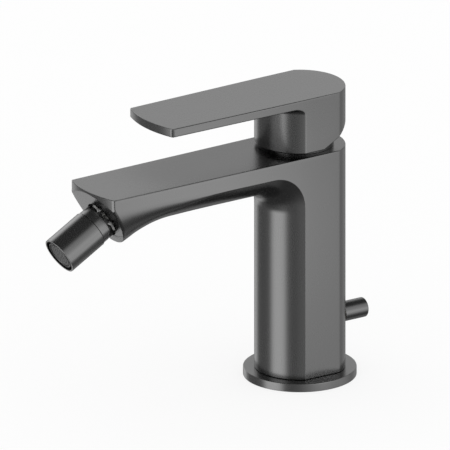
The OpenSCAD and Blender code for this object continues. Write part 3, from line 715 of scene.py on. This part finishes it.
# Turned pieces: foot, neck and knob. An outline's corner is (radius, height, rounding).
flange_bore_r = spigot_r + 0.1
flange = lathe("flange_turned", [
    (flange_bore_r, 0, 0.2), (gasket_in_r, 0), (gasket_in_r, gasket_h), (gasket_out_r, gasket_h),
    (gasket_out_r, 0), (flange_r, 0, 0.2), (flange_r, flange_top, 0.45), (flange_bore_r, flange_top, 0.2)])
finish_piece(flange, "body", "gunmetal_trim", "base_flange")

neck_top = high("neck_cover").z
neck = lathe("neck_turned", [
    (neck_r - neck_wall, body_top), (neck_r, body_top, 0.2), (neck_r, neck_top, 0.4),
    (neck_hole_r, neck_top, 0.2), (neck_hole_r, neck_top - neck_wall),
    (neck_r - neck_wall, neck_top - neck_wall)])
finish_piece(neck, "body", "gunmetal_trim", "neck_cover")

knob_end = high("pull_knob").y
knob_rear = column_r + knob_gap
knob = lathe("knob_turned", [
    (0, knob_end), (knob_r, knob_end, 0.6), (knob_r, knob_rear, 0.2), (shaft_r, knob_rear, 0.1),
    (shaft_r, knob_end - knob_socket), (0, knob_end - knob_socket)], KNOB)
finish_piece(knob, "pull_knob", "gunmetal_trim", "pull_knob")


# Turned pieces of the ball joint and the aerator, with their heights along the joint's axis
def turned_joint(degrees):
    """The joint's frame, turned about its axis."""
    return JOINT @ Matrix.Rotation(math.radians(degrees), 4, "Z")


# A radius outside all of them, for cutters
outside_r = 10
bowl_turns = np.linspace(math.acos(water_hole_r / cup_r), -math.acos(cup_mouth_r / cup_r), 16)
bowl = [(cup_r * math.cos(t), cup_r * math.sin(t)) for t in bowl_turns]
collar = lathe("collar_turned", [
    (collar_thread_r, collar_back), (collar_r, collar_back, 0.2), (collar_r, collar_front, 0.25),
    (collar_neck_r, collar_front), (collar_neck_r, collar_end), (water_hole_r, collar_end)]
    + bowl + [(collar_thread_r, bowl[-1][1])], JOINT)
spanner_r = collar_r - spanner_cut
combine(collar, "DIFFERENCE", [
    cutter_box((spanner_r, -outside_r, collar_back - PAST),
               (2 * outside_r, outside_r, collar_back + spanner_length), turned_joint(turn))
    for turn in (-40, 140)])
finish_piece(collar, "nozzle", "gunmetal_trim", "joint_collar")

lock = lathe("lock_ring", [
    (ring_hole_r, ring_back, 0.1), (ring_r, ring_back, 0.2), (ring_r, collar_back, 0.1),
    (ring_skirt_r, collar_back), (ring_skirt_r, ring_front), (cup_r, ring_front), (cup_r, collar_back),
    (ring_hole_r, collar_back)], JOINT)
slot_top = collar_back - 0.2
combine(lock, "DIFFERENCE", [
    cutter_box((slot_floor_r, -slot_half, slot_bottom), (outside_r, slot_half, slot_top),
               turned_joint(first_slot + 360 / ring_slots * k))
    for k in range(ring_slots)])
finish_piece(lock, "nozzle", "gunmetal_trim", "retaining_ring")

sleeve = lathe("sleeve_turned", [
    (sleeve_thread_r, sleeve_back), (sleeve_r, sleeve_back, 0.25), (sleeve_r, sleeve_end, 0.12),
    (sleeve_mouth_r, sleeve_end, 0.06), (sleeve_mouth_r, sleeve_step), (sleeve_thread_r, sleeve_step)], JOINT)
finish_piece(sleeve, "nozzle", "gunmetal_trim", "aerator_sleeve")

insert = lathe("insert_turned", [
    (insert_in_r, insert_back), (insert_out_r, insert_back, 0.1), (insert_out_r, insert_front, 0.2),
    (insert_in_r, insert_front)], JOINT)
finish_piece(insert, "nozzle", "black_plastic", "aerator_insert")

# The disc's middle lies a hair under its rim, with a shallow groove between them
disc_middle = disc_front - disc_sunk
disc = lathe("outlet_disc", [
    (0, disc_back), (disc_r, disc_back), (disc_r, disc_front, 0.2), (disc_groove_r + 0.3, disc_front, 0.15),
    (disc_groove_r + 0.1, disc_groove_floor), (disc_groove_r - 0.1, disc_groove_floor),
    (disc_groove_r - 0.3, disc_middle, 0.1), (0, disc_middle)], JOINT)
disc_holes = []
hole_back = disc_back - 1.3
hole_front = disc_front + 0.7
hole_outline = [(0, hole_back), (disc_hole_r, hole_back), (disc_hole_r, hole_front), (0, hole_front)]
for ring_no in range(1, disc_hole_rings + 1):
    for k in range(6 * ring_no):
        place = turned_joint(60 / ring_no * k) @ Matrix.Translation((disc_hole_pitch * ring_no, 0, 0))
        disc_holes.append(lathe("cutter", hole_outline, place, 8))
combine(disc, "DIFFERENCE", disc_holes)
finish_piece(disc, "nozzle", "stainless", "outlet_face")


class Nodes:
    """Shorthand for building one node tree."""

    def __init__(self, tree):
        self.tree = tree
        tree.nodes.clear()

    def add(self, kind, settings=None, **inputs):
        """A new node. An input is a value or another node's output, by its socket's name with _ for a space,
        or by its number as i0, i1 and so on."""
        node = self.tree.nodes.new(kind)
        for key, value in (settings or {}).items():
            setattr(node, key, value)
        for key, value in inputs.items():
            which = int(key[1:]) if key[1:].isdigit() else key.replace("_", " ")
            socket = node.inputs[which]
            if isinstance(value, bpy.types.NodeSocket):
                self.tree.links.new(value, socket)
            else:
                socket.default_value = value
        return node

    def math(self, operation, *values):
        """The result of one sum."""
        inputs = {f"i{k}": value for k, value in enumerate(values)}
        return self.add("ShaderNodeMath", {"operation": operation}, **inputs).outputs[0]

    def fade(self, value, start, end, first, last):
        """first up to start, last from end on, smooth between them."""
        node = self.add("ShaderNodeMapRange", {"interpolation_type": "SMOOTHSTEP"},
                        Value=value, From_Min=start, From_Max=end, To_Min=first, To_Max=last)
        return node.outputs[0]


def node_material(name):
    """A new material and its empty node tree."""
    material = bpy.data.materials.new(name)
    material.use_nodes = True
    return material, Nodes(material.node_tree)


# Painted shade under covering pieces: how near a covering piece darkens a face's colour, to what share at
# most, and between which open shares and which upward shares of the normal that fades
cover_reach = 40
painted_cover_shade = 0.72
open_fades = (0.6, 0.98)
upward_fades = (0.7, 0.95)
# The two tones of a grain fade between these shares of its noise; its wide part has this scale
TONES_FROM, TONES_TO = 0.3, 0.7
WIDE_SCALE = 45.0


def painted_shade_under_cover(tree, colour):
    """Painted shade: the colour, darker where a face that looks up lies close under another piece, like the
    spout's top.
    """
    open_share = tree.add("ShaderNodeAmbientOcclusion", Distance=cover_reach * MM).outputs["AO"]
    painted_darkening = tree.fade(open_share, *open_fades, painted_cover_shade, 1.0)
    normal = tree.add("ShaderNodeNewGeometry").outputs["Normal"]
    facing_up = tree.add("ShaderNodeSeparateXYZ", Vector=normal).outputs[2]
    looks_aside = tree.fade(facing_up, *upward_fades, 1.0, 0.0)
    shade = tree.math("MAXIMUM", painted_darkening, looks_aside)
    return tree.add("ShaderNodeVectorMath", {"operation": "SCALE"}, Vector=colour, Scale=shade).outputs[0]


def finish_material(name, colour, metallic, roughness, spread, streak, grain, depth, rough_spread=0.04):
    """A finish with a fine grain, its colour darkened by painted shade close under another piece. spread is
    how far its tone varies; streak stretches the grain along X, Y and Z; grain is its width and depth its
    height, in millimetres."""
    material, tree = node_material(name)
    place = tree.add("ShaderNodeTexCoord").outputs["Object"]
    size = [1 / (grain * MM * s) for s in streak]
    grain_place = tree.add("ShaderNodeMapping", Vector=place, Scale=size).outputs[0]
    fine = tree.add("ShaderNodeTexNoise", Vector=grain_place, Scale=1.0, Detail=3.0).outputs[0]
    wide = tree.add("ShaderNodeTexNoise", Vector=place, Scale=WIDE_SCALE, Detail=2.0).outputs[0]
    mixed = tree.math("ADD", tree.math("MULTIPLY", fine, 0.5), tree.math("MULTIPLY", wide, 0.5))
    tone = tree.add("ShaderNodeValToRGB", Fac=mixed)
    tone.color_ramp.elements[0].position = TONES_FROM
    tone.color_ramp.elements[1].position = TONES_TO
    for element, share in zip(tone.color_ramp.elements, (1 - spread, 1 + spread)):
        element.color = [min(c * share, 1) for c in colour] + [1]
    rough = tree.fade(mixed, TONES_FROM, TONES_TO, roughness - rough_spread, roughness + rough_spread)
    bump = tree.add("ShaderNodeBump", Height=fine, Strength=1.0, Distance=depth * MM).outputs[0]
    # The base colour gets painted shade where the face lies close under another piece
    colour_with_painted_shade = painted_shade_under_cover(tree, tone.outputs[0])
    shader = tree.add("ShaderNodeBsdfPrincipled", Base_Color=colour_with_painted_shade, Metallic=metallic,
                      Roughness=rough, Normal=bump)
    tree.add("ShaderNodeOutputMaterial", Surface=shader.outputs[0])
    return material


GUNMETAL = (0.24, 0.24, 0.24)
MESH_GREY = (0.17, 0.17, 0.17)
# A darker gunmetal: painted shade for the ring in the nose's recess
SHADE_PAINTED_GREY = (0.09, 0.09, 0.09)
EVEN, RISING, FORWARD = (1, 1, 1), (1, 1, 30), (1, 30, 1)
# The gunmetal's grain is hardly seen: how far its tone and roughness vary, and how deep it is
FAINT, FLUSH = 0.006, 0.00001
finishes = {
    "gunmetal_brass": finish_material("gunmetal", GUNMETAL, 1.0, 0.27, FAINT, RISING, 0.3, FLUSH, FAINT),
    "gunmetal_lever": finish_material(
        "gunmetal_lever", GUNMETAL, 1.0, 0.27, FAINT, FORWARD, 0.3, FLUSH, FAINT),
    "gunmetal_trim": finish_material("gunmetal_trim", GUNMETAL, 1.0, 0.25, FAINT, EVEN, 0.3, FLUSH, FAINT),
    "bare_brass": finish_material("bare_brass", (0.62, 0.45, 0.18), 1.0, 0.32, 0.06, RISING, 0.3, 0.002),
    "stainless": finish_material("stainless", (0.5, 0.5, 0.49), 1.0, 0.3, 0.05, EVEN, 0.25, 0.002),
    "rubber": finish_material("rubber", (0.012, 0.012, 0.012), 0.0, 0.62, 0.15, EVEN, 0.3, 0.01),
    "black_plastic": finish_material("black_plastic", (0.02, 0.02, 0.021), 0.0, 0.42, 0.12, EVEN, 0.2, 0.006),
    "white_plastic": finish_material("white_plastic", (0.72, 0.71, 0.68), 0.0, 0.4, 0.03, EVEN, 0.2, 0.005),
    "ceramic": finish_material("ceramic", (0.82, 0.8, 0.74), 0.0, 0.16, 0.02, EVEN, 0.2, 0.001),
}
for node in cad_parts.values():
    slot = node.data.materials[0].name
    node.data.materials.clear()
    node.data.materials.append(finishes[slot])
for piece in pieces:
    piece.data.materials.clear()
    piece.data.materials.append(finishes[piece["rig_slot"]])
# The disc is a fine grey mesh to the eye; the ring's gunmetal is darkened with painted shade, as it lies in
# the nose's shade
disc.data.materials[0] = finish_material("fine_mesh", MESH_GREY, 1.0, 0.4, 0.2, EVEN, 0.5, 0.002)
lock.data.materials[0] = finish_material("gunmetal_painted_shade", SHADE_PAINTED_GREY, 1.0, 0.3, 0.05, EVEN, 0.3, 0.001)

# The room's light panels, in degrees
STUDIO = [
    # azimuth, half-width, softness, lowest and highest elevation, softness of these, strength
    (-90, 20, 7, -30, 55, 7, 1.2),
    (32, 54, 28, -27, 46, 7, 0.45),
    (15, 26, 14, -12, 14, 12, 0.42),
    (148, 38, 12, 2, 40, 14, 0.58),
    (116, 14, 10, -40, 2, 10, 0.2),
    (178, 13, 8, -52, 45, 10, 0.65),
    (112, 42, 14, -78, -40, 8, 0.2),
]
# Light of the gaps between the panels, near the horizon and far from it, and where one fades to the other
GAP_LIGHT = 0.2
FAR_LIGHT = 0.075
GAP_FADES = (28, 52)


def studio():
    """World: plain white to the camera and to matt surfaces, panels with dark gaps to reflections."""
    world = bpy.data.worlds.new("studio")
    bpy.context.scene.world = world
    world.use_nodes = True
    tree = Nodes(world.node_tree)
    direction = tree.add("ShaderNodeTexCoord").outputs["Generated"]
    xyz = tree.add("ShaderNodeSeparateXYZ", Vector=direction).outputs
    azimuth = tree.math("ARCTAN2", xyz[1], xyz[0])
    elevation = tree.math("ARCSINE", xyz[2])
    fade_start, fade_end = (math.radians(a) for a in GAP_FADES)
    light = tree.fade(tree.math("ABSOLUTE", elevation), fade_start, fade_end, GAP_LIGHT, FAR_LIGHT)
    for at, half, soft, lowest, highest, soft_up, strength in STUDIO:
        turn = tree.math("WRAP", tree.math("SUBTRACT", azimuth, math.radians(at)), math.pi, -math.pi)
        aside = tree.math("ABSOLUTE", turn)
        middle = math.radians((lowest + highest) / 2)
        above = tree.math("ABSOLUTE", tree.math("SUBTRACT", elevation, middle))
        tall = (highest - lowest) / 2
        across_share = tree.fade(aside, math.radians(half - soft), math.radians(half + soft), 1.0, 0.0)
        glow = tree.fade(above, math.radians(tall - soft_up), math.radians(tall + soft_up), strength, 0.0)
        light = tree.math("ADD", light, tree.math("MULTIPLY", across_share, glow))
    path = tree.add("ShaderNodeLightPath").outputs
    camera_ray = path["Is Camera Ray"]
    seen = tree.math("MAXIMUM", camera_ray, path["Is Glossy Ray"])
    seen = tree.math("MAXIMUM", seen, path["Is Transmission Ray"])
    flagged = tree.math("MULTIPLY", light, tree.math("SUBTRACT", 1.0, camera_ray))
    backdrop = tree.add("ShaderNodeBackground", Color=tree.math("ADD", flagged, camera_ray)).outputs[0]
    plain = tree.add("ShaderNodeBackground", Color=(1, 1, 1, 1)).outputs[0]
    shown = tree.add("ShaderNodeMixShader", i0=seen, i1=plain, i2=backdrop).outputs[0]
    tree.add("ShaderNodeOutputWorld", Surface=shown)
    world.cycles.sampling_method = "NONE"


def heading(azimuth, elevation):
    """The direction at an azimuth and an elevation in degrees."""
    turn, rise = math.radians(azimuth), math.radians(elevation)
    return Vector((math.cos(turn) * math.cos(rise), math.sin(turn) * math.cos(rise), math.sin(rise)))


def square(half):
    """The corners of a level square about the origin."""
    return [(-half, -half, 0), (half, -half, 0), (half, half, 0), (-half, half, 0)]


# The side card: heading and distance from its aim, half-width, aim, where its glow fades, and its strength
card_heading = (34, -19.8)
card_away = 190
card_half = 90
card_middle = Vector((67.5, -48.6, 80))
card_fades = (20, 85)
card_strength = 0.55


def side_card():
    """A soft card of light close to the near side, which only reflections show."""
    away = heading(*card_heading)
    place = frame_at(away * card_away + card_middle, (-away.y, away.x, 0), away)
    corners = [place @ Vector(c) for c in square(card_half)]
    card = mesh_object("side_card", corners, [(0, 1, 2, 3)])
    card.visible_camera = False
    card.visible_diffuse = False
    card.visible_shadow = False
    card.visible_transmission = False
    material, tree = node_material("side_card")
    position = tree.add("ShaderNodeNewGeometry").outputs["Position"]
    centre = [c * MM for c in place.translation]
    apart = tree.add("ShaderNodeVectorMath", {"operation": "DISTANCE"}, i0=position, i1=centre)
    glow = tree.fade(apart.outputs["Value"], card_fades[0] * MM, card_fades[1] * MM, card_strength, 0.0)
    lit = tree.add("ShaderNodeEmission", Color=(1, 1, 1, 1), Strength=glow).outputs[0]
    clear = tree.add("ShaderNodeBsdfTransparent").outputs[0]
    shown = tree.add("ShaderNodeAddShader", i0=lit, i1=clear).outputs[0]
    tree.add("ShaderNodeOutputMaterial", Surface=shown)
    card.data.materials.append(material)


# The floor: half-width, its grey, and how much plain white the camera sees in it
floor_half = 900
floor_grey = 0.95
floor_white = 0.8


def pale_floor():
    """A matt floor, mostly white to the camera, so that a faint shadow stays; no reflection shows it."""
    floor = mesh_object("floor", square(floor_half), [(0, 1, 2, 3)])
    floor.visible_glossy = False
    material, tree = node_material("paper")
    camera_ray = tree.add("ShaderNodeLightPath").outputs["Is Camera Ray"]
    matt = tree.add("ShaderNodeBsdfDiffuse", Color=(floor_grey, floor_grey, floor_grey, 1)).outputs[0]
    white = tree.add("ShaderNodeEmission", Color=(1, 1, 1, 1), Strength=1.0).outputs[0]
    share = tree.math("MULTIPLY", camera_ray, floor_white)
    shown = tree.add("ShaderNodeMixShader", i0=share, i1=matt, i2=white).outputs[0]
    tree.add("ShaderNodeOutputMaterial", Surface=shown)
    floor.data.materials.append(material)


# The photograph's view: azimuth, elevation, half the flange's width and the origin's place in pixels
view_azimuth = math.radians(56)
view_elevation = math.radians(19.8)
flange_half_pixels = 56.9
origin_pixel = (299.8, 373.1)
picture = 450


def photo_camera():
    """A camera without perspective that sees the part as the photograph does."""
    pixel = flange_r / flange_half_pixels
    right = Vector((math.cos(view_azimuth), math.sin(view_azimuth), 0))
    back = Vector((math.sin(view_azimuth) * math.cos(view_elevation),
                   -math.cos(view_azimuth) * math.cos(view_elevation), math.sin(view_elevation)))
    up = back.cross(right)
    across_shift = right * (picture / 2 - origin_pixel[0])
    aim = (across_shift + up * (origin_pixel[1] - picture / 2)) * pixel * MM
    camera = bpy.data.objects.new("camera", bpy.data.cameras.new("camera"))
    camera.data.type = "ORTHO"
    camera.data.ortho_scale = picture * pixel * MM
    camera.location = aim + back
    camera.rotation_mode = "QUATERNION"
    camera.rotation_quaternion = back.to_track_quat("Z", "Y")
    bpy.context.scene.collection.objects.link(camera)
    bpy.context.scene.camera = camera


side_card()
studio()
pale_floor()
photo_camera()

bpy.context.scene.view_settings.view_transform = "Standard"
